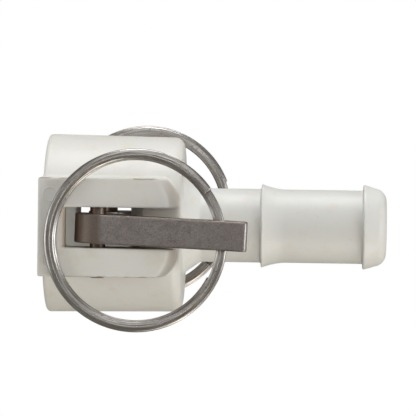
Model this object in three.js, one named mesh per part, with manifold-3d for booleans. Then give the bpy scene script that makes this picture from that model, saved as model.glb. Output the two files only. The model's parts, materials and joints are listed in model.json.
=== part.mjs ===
// Cam-and-groove hose coupling: a moulded cup with a hose tail, closed on its mate by two cam levers.
// Millimetres. +X runs along the hose towards its open end and +Z is up.
// Each piece is drawn with x measured from the mouth of the cup, and y and z from the hose axis.
// The whole is then moved so that the origin is on the axis, halfway along the length.
import * as THREE from 'three';
import { mergeVertices } from 'three/addons/utils/BufferGeometryUtils.js';
import Module from 'manifold-3d';

const wasm = await Module();
wasm.setup();

// Overall
const LENGTH = 88.55; // from the rim of the cup to the tip of the tail
const TURNING_SEGMENTS = 60;
const CUT_MARGIN = 2; // how far a cutting tool runs past the surface it opens

// Cup
const CUP_LENGTH = 35.5;
const CUP_MOUTH_RADIUS = 23.3;
const CUP_REAR_RADIUS = 22.85;
const MOUTH_EDGE = 1;
const REAR_EDGE = 2.6;
const BORE_RADIUS = 18.6;
const BORE_CHAMFER = 0.7;
const SEAT_RADIUS = 20;
const SEAT_FRONT = 26;
const SEAT_BACK = 32.6;
const FLOW_RADIUS = 6.25;

// Hose tail
const CONE_RADIUS = 12.9;
const CONE_END = 40;
const TUBE_RADIUS = 9.65;
const BARB_START = 55.8;
const BARB_END = 62.1;
const BARB_RADIUS = 11;
const SHANK_RADIUS = 9.6;
const BEAD_START = 82.4;
const BEAD_RADIUS = 11.1;
const NOSE = { radius: 10.15, flatRadius: 7, length: 2.9 }; // rounded as a quarter ellipse

// Ears: two on each side of the cup, with the lever's slot between them
const EAR_LENGTH = 35.1;
const EAR_PROUD = 0.5; // how far the ears stand in front of the rim
const EAR_FALL = 3.7; // length of the falling end
const EAR_REACH = 29; // from the hose axis to the outer face
const EAR_CROWN = 0.35; // how much lower the outer face is at its sides
const EAR_FOOT = 22; // where the falling end of the ears meets the cup
const EAR_HALF_HEIGHT = 12.6;
const EAR_EDGE = 0.5;
const EAR_CORNER = { start: 4.5, alongX: 6.4, alongZ: 9 }; // an ellipse in plan, from this height outwards
const EAR_CORNER_STEPS = 14;
const SLOT_HALF_WIDTH = 5.15;
const SLOT_FLOOR = 22.6;
const SLOT_START_INSIDE = 5.7;
const SLOT_START_OUTSIDE = 6.4;
const SLOT_START_ROUND = 1.9;
const WINDOW_END_INSIDE = 22.6; // the opening through the cup wall ends in a slope
const WINDOW_END_OUTSIDE = 25.9;

// Hinge pins
const PIN_X = 14.5;
const PIN_REACH = 24.5;
const PIN_RADIUS = 2;
const PIN_HALF_LENGTH = 12.65;
const PIN_Z = -0.3; // pressed in from above, so that the lower end shows
const PIN_DOME = 0.5;
const EAR_HOLE_RADIUS = 2.15;
const LEVER_HOLE_RADIUS = 2.3;

// Cam levers, drawn with the pin at the centre, u towards the hose end and v away from the hose axis
const LEVER_THICKNESS = 7.5;
const LEVER_EDGE = 0.3;
const HEAD_RADIUS = 5.85;
const LOBE = { u: 4.4, v: -5.9, radius: 2.3 };
const EYE = { u: 31, v: 6.2, radius: 4.3, hole: 2.6 };
const TIP_INSIDE = { u: 35.8, v: 6.2, radius: 2.5 };
const TIP_OUTSIDE = { u: 37.3, v: 9.3, radius: 1 };
const FRONT_LEVER = { side: -1, z: -0.2, droop: 2 }; // droop in degrees: the levers sit loosely on their pins
const REAR_LEVER = { side: 1, z: -1.25, droop: 0 };

// Split pull rings: two coils of flat wire, crossing from one layer to the other at the lever's eye
const RING_REACH = PIN_REACH + EYE.v;
const FRONT_RING_CENTRE = { x: 24.55, z: -3 };
const REAR_RING_CENTRE = { x: 24.2, z: 2.3 };
const COIL_RADII = [21.95, 21.6];
const COIL_LAYER = 0.72;
const CROSSING_HALF_ANGLE = 30;
const WIRE_WIDTH = 2.65;
const WIRE_THICKNESS = 1.3;
const WIRE_CHAMFER = 0.35;
const RING_STEPS = 96;

// Gasket
const GASKET = { inner: 13.5, outer: 19.85, front: 26.25, back: 32.5, edge: 0.4 };

const MATERIALS = {
  plastic: new THREE.MeshStandardMaterial({ color: 0xdbdad4, roughness: 0.55, metalness: 0 }),
  rubber: new THREE.MeshStandardMaterial({ color: 0x1d1d1d, roughness: 0.85, metalness: 0 }),
  steel: new THREE.MeshStandardMaterial({ color: 0x8e8884, roughness: 0.4, metalness: 1 }),
};

const radians = THREE.MathUtils.degToRad;
const point = (x, y) => new THREE.Vector2(x, y);

// Points along an arc, from one angle to the other in degrees. With two radii it is part of an ellipse.
function arc(x, y, radius, from, to, steps = 5, radiusY = radius) {
  const points = [];
  for (let step = 0; step <= steps; step += 1) {
    const angle = radians(from + ((to - from) * step) / steps);
    points.push(point(x + radius * Math.cos(angle), y + radiusY * Math.sin(angle)));
  }
  return points;
}

// Closed geometry to a solid: shared vertices are joined and triangles that collapse on the axis dropped.
function solid(geometry) {
  geometry.deleteAttribute('normal');
  geometry.deleteAttribute('uv');
  const merged = mergeVertices(geometry);
  const corners = merged.index.array;
  const kept = [];
  for (let i = 0; i < corners.length; i += 3) {
    const [a, b, c] = corners.slice(i, i + 3);
    if (a !== b && b !== c && c !== a) {
      kept.push(a, b, c);
    }
  }
  const vertProperties = merged.attributes.position.array;
  return new wasm.Manifold(new wasm.Mesh({ numProp: 3, vertProperties, triVerts: new Uint32Array(kept) }));
}

function geometryOf(shape) {
  const mesh = shape.getMesh();
  const geometry = new THREE.BufferGeometry();
  geometry.setAttribute('position', new THREE.BufferAttribute(mesh.vertProperties, 3));
  geometry.setIndex(new THREE.BufferAttribute(mesh.triVerts, 1));
  geometry.computeVertexNormals();
  return geometry;
}

// A solid turned about the hose axis, from its profile of (x, radius) points.
function turned(profile) {
  const points = profile.map(({ x, y }) => point(y, x));
  return solid(new THREE.LatheGeometry(points, TURNING_SEGMENTS).rotateZ(-Math.PI / 2));
}

// A rod along Z, cut short by a chamfer at each end.
function rod(radius, halfLength, chamfer = 0, segments = 24) {
  const profile = [point(0, -halfLength), point(radius - chamfer, -halfLength)];
  if (chamfer > 0) {
    profile.push(point(radius, chamfer - halfLength), point(radius, halfLength - chamfer));
  }
  profile.push(point(radius - chamfer, halfLength), point(0, halfLength));
  return solid(new THREE.LatheGeometry(profile, segments).rotateX(Math.PI / 2));
}

// An outline in x and y, extruded along z by the same distance each way.
function extruded(outline, halfHeight, steps = 1) {
  const geometry = new THREE.ExtrudeGeometry(new THREE.Shape(outline), {
    depth: 2 * halfHeight,
    steps,
    bevelEnabled: false,
  });
  return geometry.translate(0, 0, -halfHeight);
}

// Mirror the points of one half of an outline in the x axis, to close it.
function mirrored(half) {
  return [...half, ...half.map(({ x, y }) => point(x, -y)).reverse()];
}

function tailProfile() {
  const barb = [];
  const barbSteps = 5;
  for (let step = 0; step <= barbSteps; step += 1) {
    const along = step / barbSteps;
    const height = (BARB_RADIUS - SHANK_RADIUS) * (1 - along) ** 1.7;
    barb.push(point(BARB_START + (BARB_END - BARB_START) * along, SHANK_RADIUS + height));
  }
  return [
    point(CUP_LENGTH, CONE_RADIUS),
    point(CONE_END, TUBE_RADIUS),
    point(BARB_START, TUBE_RADIUS),
    ...barb,
    point(BEAD_START, SHANK_RADIUS),
    point(BEAD_START, BEAD_RADIUS),
    ...arc(LENGTH - NOSE.length, NOSE.flatRadius, NOSE.length, 75, 0, 6, NOSE.radius - NOSE.flatRadius),
    point(LENGTH, 0),
  ];
}

function outsideOfBody() {
  return turned([
    point(0, 0),
    ...arc(MOUTH_EDGE, CUP_MOUTH_RADIUS - MOUTH_EDGE, MOUTH_EDGE, 180, 90, 3),
    ...arc(CUP_LENGTH - REAR_EDGE, CUP_REAR_RADIUS - REAR_EDGE, REAR_EDGE, 90, 0),
    ...tailProfile(),
  ]);
}

function insideOfBody() {
  return turned([
    point(-CUT_MARGIN, 0),
    point(-CUT_MARGIN, BORE_RADIUS + BORE_CHAMFER + CUT_MARGIN),
    point(BORE_CHAMFER, BORE_RADIUS),
    point(SEAT_FRONT, BORE_RADIUS),
    point(SEAT_FRONT, SEAT_RADIUS),
    point(SEAT_BACK, SEAT_RADIUS),
    point(SEAT_BACK, FLOW_RADIUS),
    point(LENGTH + CUT_MARGIN, FLOW_RADIUS),
    point(LENGTH + CUT_MARGIN, 0),
  ]);
}

// How much shorter the ears are at a given height than in the middle, for their rounded far corners.
function earCorner(z) {
  const outwards = Math.max(Math.abs(z) - EAR_CORNER.start, 0) / EAR_CORNER.alongZ;
  return EAR_CORNER.alongX * (1 - Math.sqrt(1 - Math.min(outwards, 1) ** 2));
}

// The block that both pairs of ears are cut from: its side view and its end view, all in one solid.
// The outer face falls to the cup in a quarter of an ellipse.
function earBlock() {
  const side = mirrored([
    ...arc(EAR_EDGE - EAR_PROUD, EAR_REACH - EAR_EDGE, EAR_EDGE, 180, 90, 3),
    ...arc(EAR_LENGTH - EAR_FALL, EAR_FOOT, EAR_FALL, 90, 0, 7, EAR_REACH - EAR_FOOT),
  ]);
  const end = mirrored([
    ...arc(EAR_EDGE - EAR_HALF_HEIGHT, EAR_REACH - EAR_CROWN - EAR_EDGE, EAR_EDGE, 180, 90, 3),
    point(-EAR_HALF_HEIGHT / 2, EAR_REACH - EAR_CROWN / 4),
    point(EAR_HALF_HEIGHT / 2, EAR_REACH - EAR_CROWN / 4),
    ...arc(EAR_HALF_HEIGHT - EAR_EDGE, EAR_REACH - EAR_CROWN - EAR_EDGE, EAR_EDGE, 90, 0, 3),
  ]);
  const block = solid(extruded(side, EAR_HALF_HEIGHT + CUT_MARGIN, EAR_CORNER_STEPS));
  const rounded = block.warp((corner) => {
    if (corner[0] > EAR_LENGTH / 2) {
      corner[0] -= earCorner(corner[2]);
    }
  });
  return rounded.intersect(solid(extruded(end, EAR_LENGTH + CUT_MARGIN).rotateY(Math.PI / 2)));
}

// The lever's slot between two ears, which also opens a window through the cup wall.
function leverSlot(side) {
  const deepest = BORE_RADIUS - CUT_MARGIN;
  const clear = EAR_REACH + CUT_MARGIN;
  const roundCentre = EAR_REACH - SLOT_START_ROUND;
  const outline = [
    point(SLOT_START_INSIDE, deepest),
    point(WINDOW_END_INSIDE, deepest),
    point(WINDOW_END_INSIDE, BORE_RADIUS),
    point(WINDOW_END_OUTSIDE, SLOT_FLOOR),
    point(EAR_LENGTH + CUT_MARGIN, SLOT_FLOOR),
    point(EAR_LENGTH + CUT_MARGIN, clear),
    point(SLOT_START_OUTSIDE - SLOT_START_ROUND, clear),
    ...arc(SLOT_START_OUTSIDE - SLOT_START_ROUND, roundCentre, SLOT_START_ROUND, 90, 0, 4),
  ];
  const tool = solid(extruded(outline, SLOT_HALF_WIDTH));
  return side > 0 ? tool : tool.mirror([0, 1, 0]);
}

function couplerBody() {
  let body = outsideOfBody().add(earBlock()).subtract(insideOfBody());
  for (const side of [-1, 1]) {
    const pinHole = rod(EAR_HOLE_RADIUS, EAR_HALF_HEIGHT + CUT_MARGIN);
    body = body.subtract(leverSlot(side)).subtract(pinHole.translate([PIN_X, side * PIN_REACH, 0]));
  }
  return body;
}

function cupGasket() {
  const { inner, outer, front, back, edge } = GASKET;
  return turned([
    point(front, inner),
    point(front, outer - edge),
    point(front + edge, outer),
    point(back - edge, outer),
    point(back, outer - edge),
    point(back, inner),
    point(front, inner),
  ]);
}

function leverOutline() {
  return [
    ...arc(LOBE.u, LOBE.v, LOBE.radius, -150, 20, 8),
    point(7.2, -2.2),
    point(9, -0.4),
    point(24, 2.7),
    ...arc(EYE.u, EYE.v, EYE.radius, -100, -80, 2),
    ...arc(TIP_INSIDE.u, TIP_INSIDE.v, TIP_INSIDE.radius, -70, 0, 5),
    ...arc(TIP_OUTSIDE.u, TIP_OUTSIDE.v, TIP_OUTSIDE.radius, 0, 95, 4),
    point(HEAD_RADIUS, HEAD_RADIUS),
    ...arc(0, 0, HEAD_RADIUS, 90, 220, 10),
  ];
}

function camLever() {
  const geometry = new THREE.ExtrudeGeometry(new THREE.Shape(leverOutline()), {
    depth: LEVER_THICKNESS - 2 * LEVER_EDGE,
    bevelThickness: LEVER_EDGE,
    bevelSize: LEVER_EDGE,
    bevelOffset: -LEVER_EDGE,
    bevelSegments: 1,
  });
  const blank = solid(geometry.translate(0, 0, LEVER_EDGE - LEVER_THICKNESS / 2));
  const eye = rod(EYE.hole, LEVER_THICKNESS).translate([EYE.u, EYE.v, 0]);
  return blank.subtract(rod(LEVER_HOLE_RADIUS, LEVER_THICKNESS)).subtract(eye);
}

// Two turns of wire in the plane of x and z. The wire starts and ends beside the crossing, and keeps to
// the outer layer for most of a turn, then to the one nearer the hose.
class SplitRingPath extends THREE.Curve {
  constructor(crossing, side) {
    super();
    this.crossing = crossing;
    this.outerLayer = side * COIL_LAYER;
  }

  getPoint(t) {
    const turn = 360 - 2 * CROSSING_HALF_ANGLE;
    const travelled = t * (turn + 360);
    const across = THREE.MathUtils.smoothstep(travelled, turn, 360);
    const radius = THREE.MathUtils.lerp(COIL_RADII[0], COIL_RADII[1], across);
    const angle = radians(this.crossing + CROSSING_HALF_ANGLE + travelled);
    const layer = THREE.MathUtils.lerp(this.outerLayer, -this.outerLayer, across);
    return new THREE.Vector3(radius * Math.cos(angle), layer, radius * Math.sin(angle));
  }
}

// The crossing is the angle, in degrees, at which the wire passes through the lever's eye.
function pullRing(crossing, side) {
  const [halfThickness, halfWidth] = [WIRE_THICKNESS / 2, WIRE_WIDTH / 2];
  const section = mirrored([
    point(-halfThickness, halfWidth - WIRE_CHAMFER),
    point(WIRE_CHAMFER - halfThickness, halfWidth),
    point(halfThickness - WIRE_CHAMFER, halfWidth),
    point(halfThickness, halfWidth - WIRE_CHAMFER),
  ]);
  const extrudePath = new SplitRingPath(crossing, side);
  return solid(new THREE.ExtrudeGeometry(new THREE.Shape(section), { steps: RING_STEPS, extrudePath }));
}

function named(name, shape, material) {
  const mesh = new THREE.Mesh(geometryOf(shape), material);
  mesh.name = name;
  return mesh;
}

// A lever on its pin. The lever on the front is the rear one turned over about the hose direction.
function placedLever(name, lever) {
  const mesh = named(name, camLever(), MATERIALS.steel);
  mesh.rotation.x = lever.side > 0 ? 0 : Math.PI;
  const holder = new THREE.Group();
  holder.add(mesh);
  holder.position.set(PIN_X, lever.side * PIN_REACH, lever.z);
  holder.rotation.y = radians(lever.droop);
  return holder;
}

function placedRing(name, lever, centre) {
  const eyeZ = lever.z - EYE.u * Math.sin(radians(lever.droop));
  const crossing = THREE.MathUtils.radToDeg(Math.asin((eyeZ - centre.z) / COIL_RADII[0]));
  const mesh = named(name, pullRing(crossing, lever.side), MATERIALS.steel);
  mesh.position.set(centre.x, lever.side * RING_REACH, centre.z);
  return mesh;
}

function placedPin(name, side) {
  const mesh = named(name, rod(PIN_RADIUS, PIN_HALF_LENGTH, PIN_DOME), MATERIALS.steel);
  mesh.position.set(PIN_X, side * PIN_REACH, PIN_Z);
  return mesh;
}

const fromMouth = new THREE.Group();
fromMouth.position.x = (EAR_PROUD - LENGTH) / 2;
fromMouth.add(
  named('coupler_body', couplerBody(), MATERIALS.plastic),
  named('cup_gasket', cupGasket(), MATERIALS.rubber),
  placedPin('pivot_pin_front', FRONT_LEVER.side),
  placedPin('pivot_pin_rear', REAR_LEVER.side),
  placedLever('cam_lever_front', FRONT_LEVER),
  placedLever('cam_lever_rear', REAR_LEVER),
  placedRing('pull_ring_front', FRONT_LEVER, FRONT_RING_CENTRE),
  placedRing('pull_ring_rear', REAR_LEVER, REAR_RING_CENTRE),
);

const coupling = new THREE.Group();
coupling.add(fromMouth);

export default coupling;
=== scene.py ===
"""Looks of a cam-and-groove hose coupling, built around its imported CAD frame.

The moulded body and the cast levers are distance fields, meshed on a fine grid, so that their edges are
rounded and their inside corners filleted as a mould leaves them. The pins and the gasket are turned, and the
split rings are swept wire. Shapes are worked out in millimetres, with s measured from the mouth of the cup,
and every mesh is written in metres in the frame's own axes.
"""
import json
import math

import bpy
import numpy as np
import openvdb
from mathutils import Matrix, Vector


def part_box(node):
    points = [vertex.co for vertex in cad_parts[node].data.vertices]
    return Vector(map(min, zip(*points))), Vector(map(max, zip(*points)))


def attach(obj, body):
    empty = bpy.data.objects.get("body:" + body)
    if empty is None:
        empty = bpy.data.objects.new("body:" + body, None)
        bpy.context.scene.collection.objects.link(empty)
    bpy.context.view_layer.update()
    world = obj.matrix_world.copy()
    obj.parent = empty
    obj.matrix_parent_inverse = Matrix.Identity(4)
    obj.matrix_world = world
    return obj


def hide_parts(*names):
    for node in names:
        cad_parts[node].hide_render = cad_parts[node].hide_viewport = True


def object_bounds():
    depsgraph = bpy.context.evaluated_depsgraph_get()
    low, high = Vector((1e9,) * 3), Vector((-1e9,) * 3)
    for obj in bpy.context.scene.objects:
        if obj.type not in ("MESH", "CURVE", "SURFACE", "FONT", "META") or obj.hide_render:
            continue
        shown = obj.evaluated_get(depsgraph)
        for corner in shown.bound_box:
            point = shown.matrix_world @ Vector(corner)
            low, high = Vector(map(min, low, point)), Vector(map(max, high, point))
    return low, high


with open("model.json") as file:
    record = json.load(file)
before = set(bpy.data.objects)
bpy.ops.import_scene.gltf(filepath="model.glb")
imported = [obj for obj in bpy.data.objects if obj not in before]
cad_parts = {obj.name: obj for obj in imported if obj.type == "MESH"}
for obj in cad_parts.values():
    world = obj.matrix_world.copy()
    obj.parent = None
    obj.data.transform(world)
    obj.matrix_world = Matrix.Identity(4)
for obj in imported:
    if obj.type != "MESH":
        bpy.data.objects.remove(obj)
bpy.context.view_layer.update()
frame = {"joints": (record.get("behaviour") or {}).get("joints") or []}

MM = 0.001
JOINTS = {joint["name"]: joint for joint in frame["joints"]}


def box_mm(node):
    """Lowest and highest corner of a CAD node, in millimetres."""
    low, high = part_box(node)
    return low / MM, high / MM


# ---- Sizes, in millimetres ---------------------------------------------------------------------------------

BODY_LOW, BODY_HIGH = box_mm("coupler_body")
EAR_PROUD = 0.5  # how far the ears stand in front of the rim of the cup
MOUTH_X = BODY_LOW.x + EAR_PROUD
LENGTH = BODY_HIGH.x - MOUTH_X
CUP_RADIUS = BODY_HIGH.z
EAR_REACH = BODY_HIGH.y + 0.1
GRID_STEP = 0.3
LEVER_GRID_STEP = 0.2

CUP_LENGTH = 35.5
CUP_DRAFT = 0.45  # how much smaller the cup is at its rear
MOUTH_EDGE = 0.9
REAR_EDGE = 2.6
BORE_RADIUS = 18.6
SEAT_RADIUS = 20.0
SEAT_FRONT = 26.0
SEAT_BACK = 32.6
FLOW_RADIUS = 6.25

CONE_RADIUS = 12.9
CONE_END = 40.0
TUBE_RADIUS = 9.65
SHANK_RADIUS = 9.6
BARB_START, BARB_END, BARB_RADIUS = 55.8, 62.1, 11.0
BEAD_START, BEAD_RADIUS = 82.4, 11.1
NOSE_RADIUS, NOSE_FLAT, NOSE_LENGTH = 10.15, 6.7, 3.1
BARB_EDGE = 0.3

EAR_LENGTH = 35.1
EAR_FALL = 3.7  # length of the falling end
EAR_FOOT = 22.0
EAR_HALF_HEIGHT = 12.6
EAR_CROWN = 0.35
EAR_EDGE = 0.45
EAR_CORNER_START, EAR_CORNER_ALONG, EAR_CORNER_ACROSS = 4.5, 6.4, 9.0
SLOT_HALF_WIDTH = 5.15
SLOT_FLOOR = 22.6
SLOT_START_INSIDE, SLOT_START_OUTSIDE, SLOT_START_ROUND = 5.7, 6.4, 1.9
WINDOW_END_INSIDE, WINDOW_END_OUTSIDE = 22.6, 25.9
FOOT_FILLET = 0.5

PIN_JOINT = Vector(JOINTS["lever_rear_open"]["pos_m"]) / MM
PIN_S = PIN_JOINT.x - MOUTH_X
PIN_REACH = PIN_JOINT.y
EAR_HOLE_RADIUS = 2.15

LEVER_HALF_THICKNESS = 3.75
LEVER_EDGE = 0.32
# Height and droop of the lever on each side: -1 is the front and 1 the rear
LEVER_PLACE = {-1: (-0.3, math.radians(2)), 1: (-1.25, 0.0)}
LEVER_HOLE_RADIUS = 2.3
HEAD_RADIUS = 5.85
LOBE_U, LOBE_V, LOBE_RADIUS = 4.4, -5.9, 2.3
EYE_U, EYE_V, EYE_RADIUS, EYE_HOLE = 31.0, 6.2, 4.3, 2.6
TIP_INSIDE = (35.8, 6.2, 2.5)
TIP_OUTSIDE = (37.3, 9.3, 1.0)

COIL_STEP = 0.35  # how much smaller the inner coil is
COIL_LAYER = 0.72
CROSSING_HALF_ANGLE = 30.0
WIRE_WIDTH, WIRE_THICKNESS = 2.65, 1.3
WIRE_SQUARENESS = 2.45  # exponent of the wire's section: 2 would be an ellipse
WIRE_END_ROUND = 0.5
WIRE_END_SIZE = 0.5  # size of the section at the very end, as a share of the full one

PIN_DOME = 0.55
GASKET_BORE, GASKET_EDGE = 13.5, 0.5
HOLE_EDGE, EYE_EDGE = 0.3, 0.45

EJECTOR_S, EJECTOR_Z, EJECTOR_RADIUS = 2.6, 8.3, 1.8

PLASTIC_LIGHT = (0.80, 0.805, 0.785)
PLASTIC_WARM = (0.78, 0.777, 0.74)
PLASTIC_TAIL = (0.77, 0.78, 0.765)
PLASTIC_SPECK = (0.50, 0.46, 0.40)
PLASTIC_STAIN = (0.72, 0.68, 0.56)
# colour of the painted shade on the ends of the ears and the start of the slots
PLASTIC_PAINTED_SHADE = (0.42, 0.36, 0.29)
PLASTIC_IN_SLOT = (0.62, 0.47, 0.32)
# brown of the painted shade in creases and under the levers, and of the lines along the ears' edges
PLASTIC_DARK_BROWN = (0.20, 0.13, 0.08)
STEEL_GREY = (0.44, 0.412, 0.408)
STEEL_BROWN = (0.37, 0.32, 0.31)
STEEL_DARK = (0.15, 0.13, 0.13)
# brown of the painted shade on the levers, and of the tarnish on the pins
STEEL_TARNISH_AND_SHADE = (0.22, 0.16, 0.115)
WIRE_GREY = (0.58, 0.575, 0.57)
WIRE_WARM = (0.43, 0.41, 0.385)
WIRE_DARK = (0.20, 0.18, 0.17)
WIRE_BROWN = (0.33, 0.29, 0.26)
PIN_GREY = (0.26, 0.22, 0.20)

ROOM_BRIGHTNESS = 0.2
LIGHT_DISTANCE = 0.6
LIGHT_SIZE = 0.4
WHITE = (1, 1, 1)
WARM_WHITE = (1, 0.93, 0.82)
# Soft boxes around the object: the direction each one comes from, its power in watts and its colour
SOFT_BOXES = {
    "overhead": ((0, 0, 1), 2.5, WHITE),
    "right": ((1, -0.5, 0), 1.5, WHITE),
    "left": ((-1, -0.5, 0), 1.0, WHITE),
    "front": ((0, -1, 0.5), 0.5, WHITE),
    "table": ((0.5, -0.5, -1), 1.5, WARM_WHITE),
}
FLOOR_HALF = 3.0  # metres
FLOOR_GAP = 0.001  # metres between the object and the floor

CAMERA_AIM = Vector((-2.285, 0, 4.46))
CAMERA_AZIMUTH, CAMERA_ELEVATION, CAMERA_ROLL = math.radians(1.93), math.radians(1.91), math.radians(0.8)
CAMERA_DISTANCE = 0.812  # metres
CAMERA_LENS, CAMERA_SENSOR = 267.7, 36


# ---- Outlines ----------------------------------------------------------------------------------------------

def arc(x, y, radius, start, end, steps=8, radius_y=None):
    """Points along an arc from one angle to another, in degrees."""
    angles = np.radians(np.linspace(start, end, steps + 1))
    return [(x + radius * math.cos(a), y + (radius_y or radius) * math.sin(a)) for a in angles]


def mirrored(half):
    """Close an outline with the mirror image of its upper half."""
    return half + [(x, -y) for x, y in reversed(half)]


def body_profile():
    """The outside of the body, as (s, radius)."""
    rear = CUP_RADIUS - CUP_DRAFT
    barb_rise = BARB_RADIUS - SHANK_RADIUS
    barb = [
        (BARB_START + (BARB_END - BARB_START) * t, SHANK_RADIUS + barb_rise * (1 - t) ** 1.7)
        for t in np.linspace(0.1, 1, 10)
    ]
    return [
        (0, -1),
        *arc(MOUTH_EDGE, CUP_RADIUS - MOUTH_EDGE, MOUTH_EDGE, 180, 90),
        *arc(CUP_LENGTH - REAR_EDGE, rear - REAR_EDGE, REAR_EDGE, 90, 0),
        (CUP_LENGTH, CONE_RADIUS),
        (CONE_END, TUBE_RADIUS),
        (BARB_START, TUBE_RADIUS),
        *arc(BARB_START + BARB_EDGE, BARB_RADIUS - BARB_EDGE, BARB_EDGE, 180, 80, 4),
        *barb,
        (BEAD_START, SHANK_RADIUS),
        *arc(BEAD_START + BARB_EDGE, BEAD_RADIUS - BARB_EDGE, BARB_EDGE, 180, 80, 4),
        *arc(LENGTH - NOSE_LENGTH, NOSE_FLAT, NOSE_LENGTH, 75, 0, 12, NOSE_RADIUS - NOSE_FLAT),
        (LENGTH, -1),
    ]


def hollow_profile():
    """The inside of the body, from in front of the mouth to beyond the tip of the tail."""
    past = 4.0
    return [
        (-past, -1),
        (-past, BORE_RADIUS + past + 0.7),
        (0.7, BORE_RADIUS),
        (SEAT_FRONT, BORE_RADIUS),
        (SEAT_FRONT, SEAT_RADIUS),
        (SEAT_BACK, SEAT_RADIUS),
        (SEAT_BACK, FLOW_RADIUS + 0.5),
        (SEAT_BACK + 0.5, FLOW_RADIUS),
        (LENGTH - 0.4, FLOW_RADIUS),
        (LENGTH + past, FLOW_RADIUS + past + 0.4),
        (LENGTH + past, -1),
    ]


def lever_outline():
    """The side of a lever, as (u, v) from its pin: u towards the hose, v away from the hose axis."""
    return [
        *arc(LOBE_U, LOBE_V, LOBE_RADIUS, -150, 20, 12),
        (7.2, -2.2),
        (9, -0.4),
        (24, 2.7),
        *arc(EYE_U, EYE_V, EYE_RADIUS, -102, -78, 4),
        *arc(*TIP_INSIDE, -70, 0),
        *arc(*TIP_OUTSIDE, 0, 98),
        (HEAD_RADIUS, HEAD_RADIUS),
        *arc(0, 0, HEAD_RADIUS, 90, 220, 24),
    ]


# ---- Distance fields ---------------------------------------------------------------------------------------

def outline_distance(outline, x, y):
    """Signed distance to a closed outline, negative inside."""
    nearest = np.full(np.broadcast(x, y).shape, np.inf)
    inside = np.zeros(nearest.shape, bool)
    for (ax, ay), (bx, by) in zip(outline, outline[1:] + outline[:1]):
        ex, ey = bx - ax, by - ay
        if ex == 0 and ey == 0:
            continue
        px, py = x - ax, y - ay
        along = np.clip((px * ex + py * ey) / (ex * ex + ey * ey), 0, 1)
        nearest = np.minimum(nearest, (px - along * ex) ** 2 + (py - along * ey) ** 2)
        if ey != 0:
            inside ^= ((ay > y) != (by > y)) & (px < ex * py / ey)
    return (np.where(inside, -1, 1) * np.sqrt(nearest)).astype(np.float32)


def join(a, b, fillet):
    """Both shapes, with the inside corner between them filleted."""
    corner = np.hypot(np.maximum(fillet - a, 0), np.maximum(fillet - b, 0))
    return np.maximum(fillet, np.minimum(a, b)) - corner


def common(a, b, edge):
    """What two shapes share, with the edge between them rounded."""
    corner = np.hypot(np.maximum(edge + a, 0), np.maximum(edge + b, 0))
    return np.minimum(-edge, np.maximum(a, b)) + corner


def cut(a, b, edge):
    """One shape without the other, with the new edge rounded."""
    return common(a, -b, edge)


def grid_axes(low, high, step):
    """Coordinates of a grid that covers a box, as three arrays that broadcast together."""
    margin = 3 * step
    axes = [np.arange(a - margin, b + margin, step, dtype=np.float32) for a, b in zip(low, high)]
    return np.meshgrid(*axes, indexing="ij", sparse=True)


def turned_distance(profile, s, radius):
    """Distance to a profile turned about the hose axis."""
    steps = np.arange(0, float(radius.max()) + 1, 0.15, dtype=np.float32)
    table = outline_distance(profile, s.reshape(-1, 1), steps.reshape(1, -1))
    plane = radius[0]
    return np.stack([np.interp(plane, steps, row) for row in table]).astype(np.float32)


def mesh_of_field(field, axes, step):
    """Vertices and faces of the surface where a field is zero, in the field's own units."""
    grid = openvdb.FloatGrid()
    grid.copyFromArray(np.ascontiguousarray(field, dtype=np.float32))
    grid.transform = openvdb.createLinearTransform(voxelSize=step)
    vertices, faces = grid.convertToQuads(isovalue=0.0)
    origin = np.array([float(axis.min()) for axis in axes])
    return vertices + origin, faces


def ear_block(s, y, z):
    """The block both pairs of ears come from: its side view and its end view in one."""
    side = mirrored([
        *arc(EAR_EDGE - EAR_PROUD, EAR_REACH - EAR_EDGE, EAR_EDGE, 180, 90),
        *arc(EAR_LENGTH - EAR_FALL, EAR_FOOT, EAR_FALL, 90, 0, 24, EAR_REACH - EAR_FOOT),
    ])
    crown = [
        (EAR_HALF_HEIGHT * t, EAR_REACH - EAR_CROWN * t * t)
        for t in np.linspace(-1, 1, 13)
    ]
    outwards = np.clip((np.abs(z) - EAR_CORNER_START) / EAR_CORNER_ACROSS, 0, 0.97)
    shorter = EAR_CORNER_ALONG * (1 - np.sqrt(1 - outwards ** 2)) * (s > EAR_LENGTH / 2)
    side_field = outline_distance(side, s + shorter, y)
    end_field = outline_distance(mirrored(crown), z, y)
    return common(side_field, end_field, EAR_EDGE)


def lever_slot(s, y, z):
    """The slots between the ears, with the windows through the cup wall."""
    deep = BORE_RADIUS - 3
    clear = EAR_REACH + 4
    round_start = SLOT_START_OUTSIDE - SLOT_START_ROUND
    outline = [
        (SLOT_START_INSIDE, deep),
        (WINDOW_END_INSIDE, deep),
        (WINDOW_END_INSIDE, BORE_RADIUS),
        (WINDOW_END_OUTSIDE, SLOT_FLOOR),
        (EAR_LENGTH + 4, SLOT_FLOOR),
        (EAR_LENGTH + 4, clear),
        (round_start, clear),
        *arc(round_start, EAR_REACH - SLOT_START_ROUND, SLOT_START_ROUND, 90, 0),
    ]
    return common(outline_distance(outline, s, np.abs(y)), np.abs(z) - SLOT_HALF_WIDTH, 0.4)


def body_field(x, y, z):
    s = x - MOUTH_X
    radius = np.hypot(y, z)
    body = join(turned_distance(body_profile(), s, radius), ear_block(s, y, z), FOOT_FILLET)
    body = cut(body, turned_distance(hollow_profile(), s, radius), 0.35)
    body = cut(body, lever_slot(s, y, z), 0.4)
    holes = np.hypot(s - PIN_S, np.abs(y) - PIN_REACH) - EAR_HOLE_RADIUS
    return cut(body, holes, HOLE_EDGE)


def lever_field(u, v, w):
    side = outline_distance(lever_outline(), u, v)
    lever = common(side, np.abs(w) - LEVER_HALF_THICKNESS, LEVER_EDGE)
    lever = cut(lever, np.hypot(u, v) - LEVER_HOLE_RADIUS, HOLE_EDGE)
    return cut(lever, np.hypot(u - EYE_U, v - EYE_V) - EYE_HOLE, EYE_EDGE)


# ---- Meshes ------------------------------------------------------------------------------------------------

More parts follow.
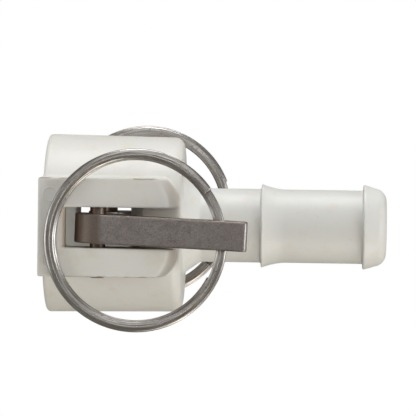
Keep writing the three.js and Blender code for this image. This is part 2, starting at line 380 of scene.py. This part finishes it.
def add_piece(name, vertices, faces, material, body, node, matrix=None, uvs=None):
    """A smooth mesh from millimetre vertices, standing for a CAD node and riding on its body."""
    mesh = bpy.data.meshes.new(name)
    mesh.from_pydata((np.asarray(vertices) * MM).tolist(), [], [[int(i) for i in f] for f in faces])
    if uvs is not None:
        layer = mesh.uv_layers.new(name="surface")
        for loop in mesh.loops:
            layer.data[loop.index].uv = uvs[loop.vertex_index]
    mesh.validate()
    if matrix is not None:
        mesh.transform(matrix)
    mesh.materials.append(material)
    mesh.shade_smooth()
    piece = bpy.data.objects.new(name, mesh)
    bpy.context.scene.collection.objects.link(piece)
    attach(piece, body)
    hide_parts(node)
    return piece


def turned_mesh(profile, segments, closed=False):
    """Vertices and faces of (along, radius) points turned about x, capped unless they close on themselves."""
    angles = np.linspace(0, 2 * math.pi, segments, endpoint=False)
    rows = len(profile)
    vertices = [(x, r * math.cos(a), r * math.sin(a)) for x, r in profile for a in angles]
    faces = []
    for row in range(rows if closed else rows - 1):
        below, above = row * segments, ((row + 1) % rows) * segments
        for i in range(segments):
            j = (i + 1) % segments
            faces.append((below + i, above + i, above + j, below + j))
    if not closed:
        faces.append(tuple(range(segments)))
        faces.append(tuple(reversed(range((rows - 1) * segments, rows * segments))))
    return vertices, faces


def wire_section(count=28):
    """Outline of the flattened wire, as (across its thickness, across its width)."""
    points = []
    for angle in np.linspace(0, 2 * math.pi, count, endpoint=False):
        cosine, sine = math.cos(angle), math.sin(angle)
        reach = (abs(cosine) ** WIRE_SQUARENESS + abs(sine) ** WIRE_SQUARENESS) ** (-1 / WIRE_SQUARENESS)
        points.append((WIRE_THICKNESS / 2 * reach * cosine, WIRE_WIDTH / 2 * reach * sine))
    return points


def smoothstep(low, high, value):
    t = min(max((value - low) / (high - low), 0), 1)
    return t * t * (3 - 2 * t)


def ring_path(crossing, outer_radius, steps):
    """Centre line of the split ring: for each step the angle, radius and layer of the wire."""
    turn = 360 - 2 * CROSSING_HALF_ANGLE
    for travelled in np.linspace(0, turn + 360, steps):
        across = smoothstep(turn, 360, travelled)
        angle = math.radians(crossing + CROSSING_HALF_ANGLE + travelled)
        yield angle, outer_radius - COIL_STEP * across, COIL_LAYER * (1 - 2 * across)


def split_ring_mesh(crossing, outer_radius, side, steps=720):
    """Vertices, faces and surface coordinates of a split ring.

    The coordinates are the distance to the wire's nearer end and the one around the wire, in millimetres.
    """
    section = wire_section()
    count = len(section)
    spacing = math.radians(720 - 2 * CROSSING_HALF_ANGLE) * outer_radius / steps
    around = 2 * (WIRE_WIDTH + WIRE_THICKNESS) / count
    vertices, uvs = [], []
    for row, (angle, radius, layer) in enumerate(ring_path(crossing, outer_radius, steps)):
        to_end = min(row, steps - 1 - row) * spacing
        rounding = math.sqrt(1 - (1 - min(to_end / WIRE_END_ROUND, 1)) ** 2)
        size = 1 - (1 - WIRE_END_SIZE) * (1 - rounding)
        for column, (across_thickness, across_width) in enumerate(section):
            r = radius + size * across_width
            y = side * (layer + size * across_thickness)
            vertices.append((r * math.cos(angle), y, r * math.sin(angle)))
            uvs.append((to_end, column * around))
    faces = []
    for row in range(steps - 1):
        for i in range(count):
            j = (i + 1) % count
            a, b = row * count, (row + 1) * count
            faces.append((a + i, a + j, b + j, b + i))
    faces.append(tuple(reversed(range(count))))
    faces.append(tuple(range((steps - 1) * count, steps * count)))
    if side < 0:
        faces = [tuple(reversed(face)) for face in faces]
    return vertices, faces, uvs


# ---- Materials ---------------------------------------------------------------------------------------------

def new_nodes(owner):
    owner.use_nodes = True
    owner.node_tree.nodes.clear()
    return owner.node_tree


class Look:
    """A procedural material, built up one node at a time. Coordinates are in millimetres of the frame."""

    def __init__(self, name):
        self.material = bpy.data.materials.new(name)
        self.tree = new_nodes(self.material)
        where = self.add("ShaderNodeTexCoord").outputs["Object"]
        self.place = self.vector("MULTIPLY", where, (1000, 1000, 1000))
        self.normal = self.add("ShaderNodeNewGeometry").outputs["Normal"]

    def add(self, kind, values=None, **settings):
        """A node with some of its settings, and with its sockets given values or links."""
        node = self.tree.nodes.new(kind)
        for name, value in settings.items():
            setattr(node, name, value)
        for key, value in (values or {}).items():
            if isinstance(value, bpy.types.NodeSocket):
                self.tree.links.new(value, node.inputs[key])
            else:
                node.inputs[key].default_value = value
        return node

    def vector(self, operation, a, b=(0, 0, 0)):
        node = self.add("ShaderNodeVectorMath", {0: a, 1: b}, operation=operation)
        return node.outputs["Value" if operation == "LENGTH" else "Vector"]

    def maths(self, operation, a, b=0.0):
        return self.add("ShaderNodeMath", {0: a, 1: b}, operation=operation).outputs[0]

    def parts(self, vector, axis):
        """One of the X, Y and Z parts of a vector."""
        return self.add("ShaderNodeSeparateXYZ", {0: vector}).outputs[axis]

    def noise(self, size, detail=2.0, where=None, stretch=(1, 1, 1)):
        """Noise between 0 and 1, with features of about the given size in millimetres."""
        scaled = self.vector("MULTIPLY", where or self.place, tuple(s / size for s in stretch))
        values = {"Vector": scaled, "Scale": 1.0, "Detail": detail, "Roughness": 0.55}
        return self.add("ShaderNodeTexNoise", values).outputs["Fac"]

    def remap(self, value, low, high, to_low=0.0, to_high=1.0, smooth=False):
        values = {"Value": value, "From Min": low, "From Max": high, "To Min": to_low, "To Max": to_high}
        kind = "SMOOTHSTEP" if smooth else "LINEAR"
        return self.add("ShaderNodeMapRange", values, interpolation_type=kind).outputs["Result"]

    def mix(self, factor, a, b):
        """From colour a, where the factor is 0, to colour b, where it is 1."""
        a, b = [(*c, 1) if isinstance(c, tuple) else c for c in (a, b)]
        return self.add("ShaderNodeMix", {0: factor, 6: a, 7: b}, data_type="RGBA").outputs[2]

    def bump(self, height, depth, below=None):
        """A relief of the given depth in millimetres, on top of another one."""
        values = {"Height": height, "Distance": depth * MM, "Strength": 1.0}
        if below is not None:
            values["Normal"] = below
        return self.add("ShaderNodeBump", values).outputs["Normal"]

    def finish(self, **values):
        inputs = {name.replace("_", " "): value for name, value in values.items()}
        surface = self.add("ShaderNodeBsdfPrincipled", inputs)
        output = self.add("ShaderNodeOutputMaterial")
        self.tree.links.new(surface.outputs[0], output.inputs["Surface"])
        return self.material


def ejector_marks(look):
    """A thin raised circle near the front of each ear, left by the mould's ejector pins. 0 or 1."""
    from_centre = look.vector("SUBTRACT", look.place, (MOUTH_X + EJECTOR_S, 0, 0))
    sideways = look.vector("ABSOLUTE", look.vector("MULTIPLY", from_centre, (1, 0, 1)))
    radius = look.vector("LENGTH", look.vector("SUBTRACT", sideways, (0, 0, EJECTOR_Z)))
    off_circle = look.maths("ABSOLUTE", look.maths("SUBTRACT", radius, EJECTOR_RADIUS))
    return look.remap(off_circle, 0.12, 0.32, 1, 0, smooth=True)


def moulded_plastic():
    look = Look("white_moulded_plastic")
    patches = look.remap(look.noise(14, 3), 0.35, 0.65)
    colour = look.mix(patches, PLASTIC_LIGHT, PLASTIC_WARM)
    on_tail = look.remap(look.parts(look.place, "X"), MOUTH_X + CUP_LENGTH - 1, MOUTH_X + CUP_LENGTH + 2)
    colour = look.mix(on_tail, colour, PLASTIC_TAIL)
    stains = look.remap(look.noise(4.5, 4), 0.56, 0.70, 0, 0.4)
    colour = look.mix(stains, colour, PLASTIC_STAIN)
    specks = look.remap(look.noise(0.55, 1), 0.73, 0.80, 0, 0.35)
    colour = look.mix(specks, colour, PLASTIC_SPECK)
    # painted shade where the ears and the start of the slots turn towards the hose end
    colour = look.mix(painted_shade_on_ends(look), colour, PLASTIC_PAINTED_SHADE)
    colour = look.mix(slot_tint(look), colour, PLASTIC_IN_SLOT)
    # painted shade under each lever, in the lower corner of its slot
    colour = look.mix(painted_shade_under_levers(look), colour, PLASTIC_DARK_BROWN)
    colour = look.mix(ear_edge_lines(look), colour, PLASTIC_DARK_BROWN)
    # Painted shade: darker and browner where ambient occlusion finds surfaces close by, in creases and inside
    # corners.
    occlusion = look.add("ShaderNodeAmbientOcclusion", {"Distance": 1.5 * MM}, samples=8).outputs["AO"]
    colour = look.mix(look.remap(occlusion, 0.25, 0.68, 0.75, 0, smooth=True), colour, PLASTIC_DARK_BROWN)
    relief = look.bump(look.noise(0.8, 2), 0.012)
    relief = look.bump(look.noise(9, 2), 0.12, relief)
    relief = look.bump(ejector_marks(look), 0.06, relief)
    return look.finish(
        Base_Color=colour,
        Roughness=look.remap(look.noise(5, 3), 0.3, 0.7, 0.36, 0.50),
        Subsurface_Weight=0.25,
        Subsurface_Radius=(1.6, 1.3, 1.0),
        Subsurface_Scale=MM,
        Normal=relief,
    )


def painted_shade_on_ends(look):
    """Painted shade, tinted brown, on the surfaces of the ears and of the start of the slots that turn
    towards the hose end. 0 to 1.
    """
    across = look.maths("ABSOLUTE", look.parts(look.place, "Y"))
    along = look.maths("SUBTRACT", look.parts(look.place, "X"), MOUTH_X)
    turned = look.parts(look.normal, "X")
    at_the_bridge = look.remap(along, SLOT_START_OUTSIDE + 0.5, SLOT_START_OUTSIDE + 1.5, 1, 0)
    ears = look.remap(turned, 0.3, 0.95, 0, 0.55, smooth=True)
    bridge = look.maths("MULTIPLY", at_the_bridge, look.remap(turned, 0.05, 0.65, 0, 0.9))
    facing = look.maths("MAXIMUM", ears, bridge)
    outside = look.remap(across, CUP_RADIUS - 4.5, CUP_RADIUS - 2.5)
    before = look.remap(along, CUP_LENGTH - 0.6, CUP_LENGTH, 1, 0)
    return look.maths("MULTIPLY", facing, look.maths("MULTIPLY", outside, before))


def ear_edge_lines(look):
    """Brown lines, in patches, on the outer edges along the top and bottom of the ears. 0 to 1."""
    across = look.maths("ABSOLUTE", look.parts(look.place, "Y"))
    height = look.maths("ABSOLUTE", look.parts(look.place, "Z"))
    off_edge = look.maths("ABSOLUTE", look.maths("SUBTRACT", height, EAR_HALF_HEIGHT))
    near_edge = look.remap(off_edge, 0.15, 0.45, 1, 0)
    patches = look.remap(look.noise(3, 2, None, (0.5, 1, 1)), 0.54, 0.66, 0.08, 0.7)
    outside = look.remap(across, EAR_REACH - 1.4, EAR_REACH - 0.9)
    return look.maths("MULTIPLY", near_edge, look.maths("MULTIPLY", patches, outside))


def slot_tint(look):
    """A darker, browner tint on the floors and walls of the lever slots. 0 to 1."""
    across = look.maths("ABSOLUTE", look.parts(look.place, "Y"))
    height = look.maths("ABSOLUTE", look.parts(look.place, "Z"))
    within = look.remap(height, SLOT_HALF_WIDTH + 0.1, SLOT_HALF_WIDTH + 0.4, 0.18, 0)
    below_face = look.remap(across, EAR_REACH - 1.5, EAR_REACH - 0.5, 1, 0)
    in_the_wall = look.remap(across, BORE_RADIUS, BORE_RADIUS + 2)
    along = look.maths("SUBTRACT", look.parts(look.place, "X"), MOUTH_X)
    after_start = look.remap(along, SLOT_START_INSIDE - 0.5, SLOT_START_INSIDE - 0.2)
    before_end = look.remap(along, CUP_LENGTH - 4, CUP_LENGTH, 1, 0)
    tint = within
    for limit in (below_face, in_the_wall, after_start, before_end):
        tint = look.maths("MULTIPLY", tint, limit)
    return tint


def painted_shade_under_levers(look):
    """Painted shade in the lower corner of each slot, under the lever. 0 to 1."""
    across = look.maths("ABSOLUTE", look.parts(look.place, "Y"))
    along = look.maths("SUBTRACT", look.parts(look.place, "X"), MOUTH_X)
    height = look.parts(look.place, "Z")
    under_lever_shade = look.remap(height, -SLOT_HALF_WIDTH + 1.6, -SLOT_HALF_WIDTH + 0.8, 0, 0.85)
    for limit in (
        look.remap(height, -SLOT_HALF_WIDTH - 0.3, -SLOT_HALF_WIDTH - 0.1),
        look.remap(across, EAR_REACH - 1.5, EAR_REACH - 0.6, 1, 0),
        look.remap(across, BORE_RADIUS, BORE_RADIUS + 2),
        look.remap(along, PIN_S - 4, PIN_S - 2.5),
        look.remap(along, WINDOW_END_INSIDE + 1, WINDOW_END_OUTSIDE + 4, 1, 0),
    ):
        under_lever_shade = look.maths("MULTIPLY", under_lever_shade, limit)
    return under_lever_shade


def cast_steel():
    look = Look("cast_stainless_steel")
    colour = look.mix(look.remap(look.noise(9, 2), 0.35, 0.7, 0, 0.45), STEEL_GREY, STEEL_BROWN)
    along = look.parts(look.place, "X")
    # Painted shade: the rounded head of the lever is darker and browner, darkest just before the pin.
    head = look.remap(along, PIN_JOINT.x + 1.6, PIN_JOINT.x, 0, 0.8, smooth=True)
    colour = look.mix(head, colour, STEEL_TARNISH_AND_SHADE)
    before_pin = look.remap(along, PIN_JOINT.x - 4.5, PIN_JOINT.x - 1, 0, 0.5, smooth=True)
    colour = look.mix(look.maths("MULTIPLY", head, before_pin), colour, STEEL_DARK)
    # Painted shade: the lever's surfaces that face up or down, along its top and bottom edges, are darkened
    # towards brown.
    edge_shade_mask = look.remap(look.maths("ABSOLUTE", look.parts(look.normal, "Z")), 0.15, 0.6, 0, 0.75)
    colour = look.mix(edge_shade_mask, colour, STEEL_TARNISH_AND_SHADE)
    grain = look.noise(0.26, 2)
    colour = look.mix(look.remap(grain, 0.42, 0.72, 0, 0.7), colour, STEEL_DARK)
    relief = look.bump(grain, 0.035)
    relief = look.bump(look.noise(2.5, 2), 0.03, relief)
    fine = look.remap(look.noise(1.3, 3), 0.3, 0.7, 0.32, 0.46)
    return look.finish(
        Base_Color=colour,
        Metallic=1.0,
        Roughness=look.maths("MAXIMUM", fine, look.remap(head, 0, 0.85, 0.3, 0.60)),
        Normal=relief,
    )


def drawn_wire():
    """Steel with fine lines along the wire, and small nicks."""
    look = Look("drawn_stainless_wire")
    along = look.add("ShaderNodeUVMap", uv_map="surface").outputs["UV"]
    fine = look.noise(1, 2, along, (0.10, 3.8, 1))
    broad = look.noise(1, 1, along, (0.06, 1.4, 1))
    colour = look.mix(look.remap(broad, 0.35, 0.65), WIRE_GREY, WIRE_WARM)
    colour = look.mix(look.remap(fine, 0.48, 0.66, 0, 0.75), colour, WIRE_DARK)
    tarnish = look.remap(look.noise(2.2, 4), 0.50, 0.72, 0, 0.5)
    colour = look.mix(tarnish, colour, WIRE_BROWN)
    nicks = look.remap(look.noise(0.9, 1), 0.70, 0.76, 0, 0.6)
    colour = look.mix(nicks, colour, STEEL_DARK)
    colour = look.mix(look.remap(look.parts(along, "X"), 0.15, 0.5, 0.85, 0), colour, STEEL_DARK)
    relief = look.bump(broad, 0.15)
    relief = look.bump(fine, 0.05, relief)
    relief = look.bump(look.noise(1.2, 3), 0.03, relief)
    return look.finish(
        Base_Color=colour,
        Metallic=1.0,
        Roughness=look.remap(fine, 0.3, 0.7, 0.23, 0.38),
        Normal=relief,
    )


def turned_steel():
    look = Look("turned_stainless_pin")
    rings = look.noise(1, 1, None, (0.4, 0.4, 8))
    tarnish = look.remap(look.noise(1.5, 3), 0.3, 0.6)
    return look.finish(
        Base_Color=look.mix(tarnish, PIN_GREY, STEEL_TARNISH_AND_SHADE),
        Metallic=1.0,
        Roughness=look.remap(rings, 0.3, 0.7, 0.36, 0.5),
        Normal=look.bump(rings, 0.006),
    )


def black_rubber():
    look = Look("black_rubber")
    dust = look.remap(look.noise(1.8, 4), 0.5, 0.75, 0, 0.5)
    return look.finish(
        Base_Color=look.mix(dust, (0.018, 0.018, 0.019), (0.07, 0.068, 0.065)),
        Roughness=look.remap(look.noise(0.6, 2), 0.3, 0.7, 0.6, 0.85),
        Normal=look.bump(look.noise(0.5, 2), 0.03),
    )


# ---- The object --------------------------------------------------------------------------------------------

def build_body(material):
    margin = Vector((0.4, 0.4, 0.4))
    axes = grid_axes(BODY_LOW - margin, BODY_HIGH + margin, GRID_STEP)
    vertices, faces = mesh_of_field(body_field(*axes), axes, GRID_STEP)
    return add_piece("moulded_body", vertices, faces, material, "body", "coupler_body")


def lever_matrix(side):
    """Places a lever drawn about its pin: the front one is turned over about the hose direction."""
    z, droop = LEVER_PLACE[side]
    place = Matrix.Translation(Vector((PIN_JOINT.x, side * PIN_REACH, z)) * MM)
    turn = Matrix.Rotation(math.pi, 4, "X") if side < 0 else Matrix.Identity(4)
    return place @ Matrix.Rotation(droop, 4, "Y") @ turn


def build_lever(side, where, material):
    axes = grid_axes((-6, -9, -4), (38, 11, 4), LEVER_GRID_STEP)
    vertices, faces = mesh_of_field(lever_field(*axes), axes, LEVER_GRID_STEP)
    return add_piece(
        f"lever_{where}", vertices, faces, material, f"lever_{where}", f"cam_lever_{where}",
        lever_matrix(side),
    )


def build_pin(side, where, material):
    node = f"pivot_pin_{where}"
    low, high = box_mm(node)
    half = (high.z - low.z) / 2
    radius = (high.x - low.x) / 2
    profile = [
        *arc(PIN_DOME - half, radius - PIN_DOME, PIN_DOME, 180, 90, 6),
        *arc(half - PIN_DOME, radius - PIN_DOME, PIN_DOME, 90, 0, 6),
    ]
    vertices, faces = turned_mesh(profile, 48)
    centre = (low + high) / 2
    matrix = Matrix.Translation(centre * MM) @ Matrix.Rotation(math.pi / 2, 4, "Y")
    return add_piece(f"pin_{where}", vertices, faces, material, "body", node, matrix)


def build_gasket(material):
    low, high = box_mm("cup_gasket")
    outer, inner, edge = high.z, GASKET_BORE, GASKET_EDGE
    profile = [
        *arc(low.x + edge, inner + edge, edge, 270, 180, 5),
        *arc(low.x + edge, outer - edge, edge, 180, 90, 5),
        *arc(high.x - edge, outer - edge, edge, 90, 0, 5),
        *arc(high.x - edge, inner + edge, edge, 0, -90, 5),
    ]
    vertices, faces = turned_mesh(profile, 120, closed=True)
    return add_piece("gasket", vertices, faces, material, "body", "cup_gasket")


def build_ring(side, where, material):
    node = f"pull_ring_{where}"
    low, high = box_mm(node)
    joint = Vector(JOINTS[f"ring_{where}_swing"]["pos_m"]) / MM
    half_size = (high.z - low.z) / 2
    centre = Vector((low.x + half_size, joint.y, (low.z + high.z) / 2))
    z, droop = LEVER_PLACE[side]
    eye_z = z - EYE_U * math.sin(droop)
    radius = half_size - WIRE_WIDTH / 2
    crossing = math.degrees(math.asin((eye_z - centre.z) / radius))
    vertices, faces, uvs = split_ring_mesh(crossing, radius, side)
    matrix = Matrix.Translation(centre * MM)
    return add_piece(
        f"ring_{where}", vertices, faces, material, f"ring_{where}", node, matrix, uvs,
    )


# ---- Stage, lights and camera ------------------------------------------------------------------------------

def soft_box(name, direction, power, colour):
    """A square soft light, turned to the origin from some distance away."""
    data = bpy.data.lights.new(name, "AREA")
    data.size = LIGHT_SIZE
    data.energy = power
    data.color = colour
    light = bpy.data.objects.new(name, data)
    towards_light = Vector(direction).normalized()
    light.location = towards_light * LIGHT_DISTANCE
    light.rotation_euler = (-towards_light).to_track_quat("-Z", "Y").to_euler()
    bpy.context.scene.collection.objects.link(light)


def build_world():
    """White behind the object, which stands in an evenly lit room."""
    world = bpy.data.worlds.new("studio")
    tree = new_nodes(world)
    path = tree.nodes.new("ShaderNodeLightPath")
    mix = tree.nodes.new("ShaderNodeMixShader")
    output = tree.nodes.new("ShaderNodeOutputWorld")
    tree.links.new(path.outputs["Is Camera Ray"], mix.inputs["Fac"])
    for socket, colour, brightness in ((1, WARM_WHITE, ROOM_BRIGHTNESS), (2, WHITE, 1)):
        background = tree.nodes.new("ShaderNodeBackground")
        background.inputs["Color"].default_value = (*colour, 1)
        background.inputs["Strength"].default_value = brightness
        tree.links.new(background.outputs[0], mix.inputs[socket])
    tree.links.new(mix.outputs[0], output.inputs["Surface"])
    bpy.context.scene.world = world


def build_floor():
    """A plain white floor under the object. It is seen, but throws no light back on the object."""
    low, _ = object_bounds()
    mesh = bpy.data.meshes.new("floor")
    z = low.z - FLOOR_GAP
    corners = [(x * FLOOR_HALF, y * FLOOR_HALF, z) for x, y in ((-1, -1), (1, -1), (1, 1), (-1, 1))]
    mesh.from_pydata(corners, [], [(0, 1, 2, 3)])
    floor = bpy.data.objects.new("floor", mesh)
    bpy.context.scene.collection.objects.link(floor)
    material = bpy.data.materials.new("floor_white")
    tree = new_nodes(material)
    output = tree.nodes.new("ShaderNodeOutputMaterial")
    white = tree.nodes.new("ShaderNodeEmission")
    tree.links.new(white.outputs["Emission"], output.inputs["Surface"])
    mesh.materials.append(material)
    for ray in ("diffuse", "glossy", "transmission", "shadow"):
        setattr(floor, f"visible_{ray}", False)


def build_lights():
    for name, (direction, power, colour) in SOFT_BOXES.items():
        soft_box(name, direction, power, colour)


def build_camera():
    data = bpy.data.cameras.new("camera")
    data.lens = CAMERA_LENS
    data.sensor_width = CAMERA_SENSOR
    data.clip_end = 10
    camera = bpy.data.objects.new("camera", data)
    offset = Vector((
        math.sin(CAMERA_AZIMUTH) * math.cos(CAMERA_ELEVATION),
        -math.cos(CAMERA_AZIMUTH) * math.cos(CAMERA_ELEVATION),
        math.sin(CAMERA_ELEVATION),
    ))
    place = Matrix.Translation(CAMERA_AIM * MM + offset * CAMERA_DISTANCE)
    look = (-offset).to_track_quat("-Z", "Y").to_matrix().to_4x4()
    camera.matrix_world = place @ look @ Matrix.Rotation(CAMERA_ROLL, 4, "Z")
    bpy.context.scene.collection.objects.link(camera)
    bpy.context.scene.camera = camera


steel, wire, pin = cast_steel(), drawn_wire(), turned_steel()

build_body(moulded_plastic())
build_gasket(black_rubber())
for side, where in ((-1, "front"), (1, "rear")):
    build_pin(side, where, pin)
    build_lever(side, where, steel)
    build_ring(side, where, wire)

build_floor()
build_world()
build_lights()
build_camera()
bpy.context.scene.view_settings.view_transform = "Standard"
